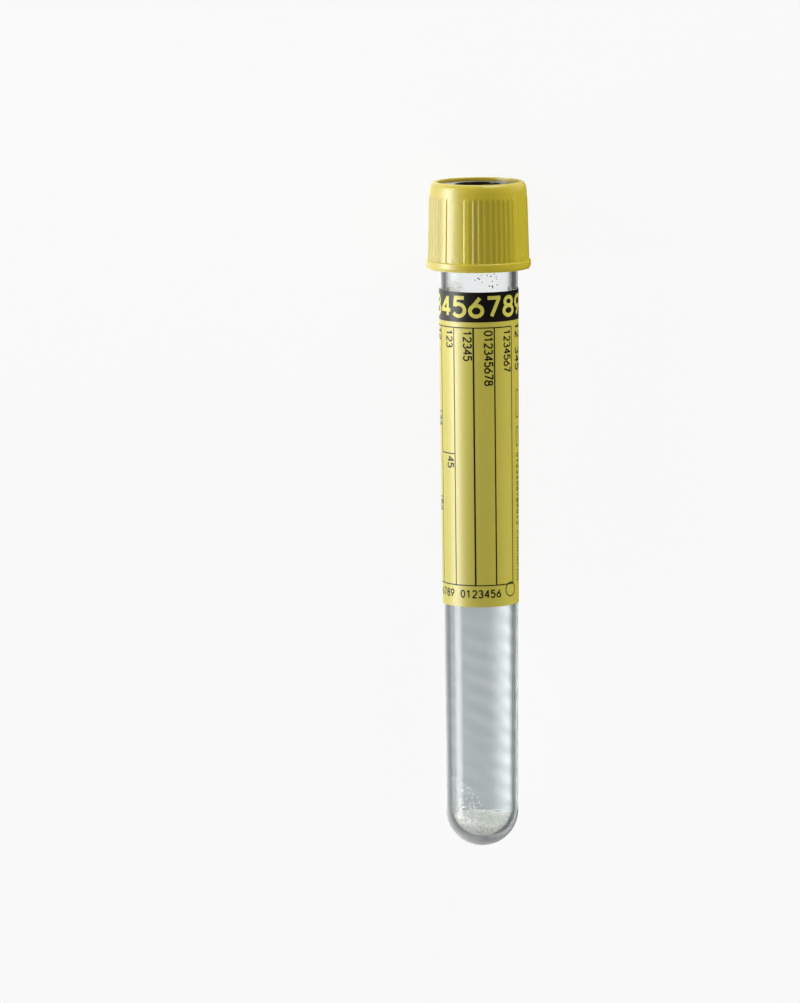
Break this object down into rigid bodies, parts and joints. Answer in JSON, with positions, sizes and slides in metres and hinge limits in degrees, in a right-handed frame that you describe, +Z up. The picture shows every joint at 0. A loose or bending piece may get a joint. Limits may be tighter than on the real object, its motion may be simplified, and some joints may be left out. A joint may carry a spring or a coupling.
{
  "type": "blood collection tube",
  "caption": "Clear plastic sample tube with round end, wrapped label, powdered additive and a pull-off ridged cap with rubber stopper.",
  "frame": {"origin": "middle of the lying tube's outline on the surface it lies on", "axes": "+Z up, +Y towards the cap end, +X to the right of someone who reads the label's form with the cap at the top"},
  "size_m": [0.0168, 0.1082, 0.0167],
  "materials": {
    "clear_wall": "clear, polished moulded PET",
    "label_film": "semi-gloss printed label film",
    "powder": "loose white granules",
    "cap_plastic": "moulded polyethylene, satin gloss",
    "ring_plastic": "polished moulded plastic",
    "stopper_rubber": "matt moulded rubber"
  },
  "bodies": {
    "tube_body": {"tube": "clear_wall", "label": "label_film", "additive": "powder"},
    "closure": {"cap": "cap_plastic", "ring": "ring_plastic", "stopper": "stopper_rubber"}
  },
  "joints": [
    {"name": "closure_pull", "type": "slide", "parent": "tube_body", "child": "closure", "axis": [0, 0.9996, 0.0269], "range_m": [0, 0.025]}
  ]
}
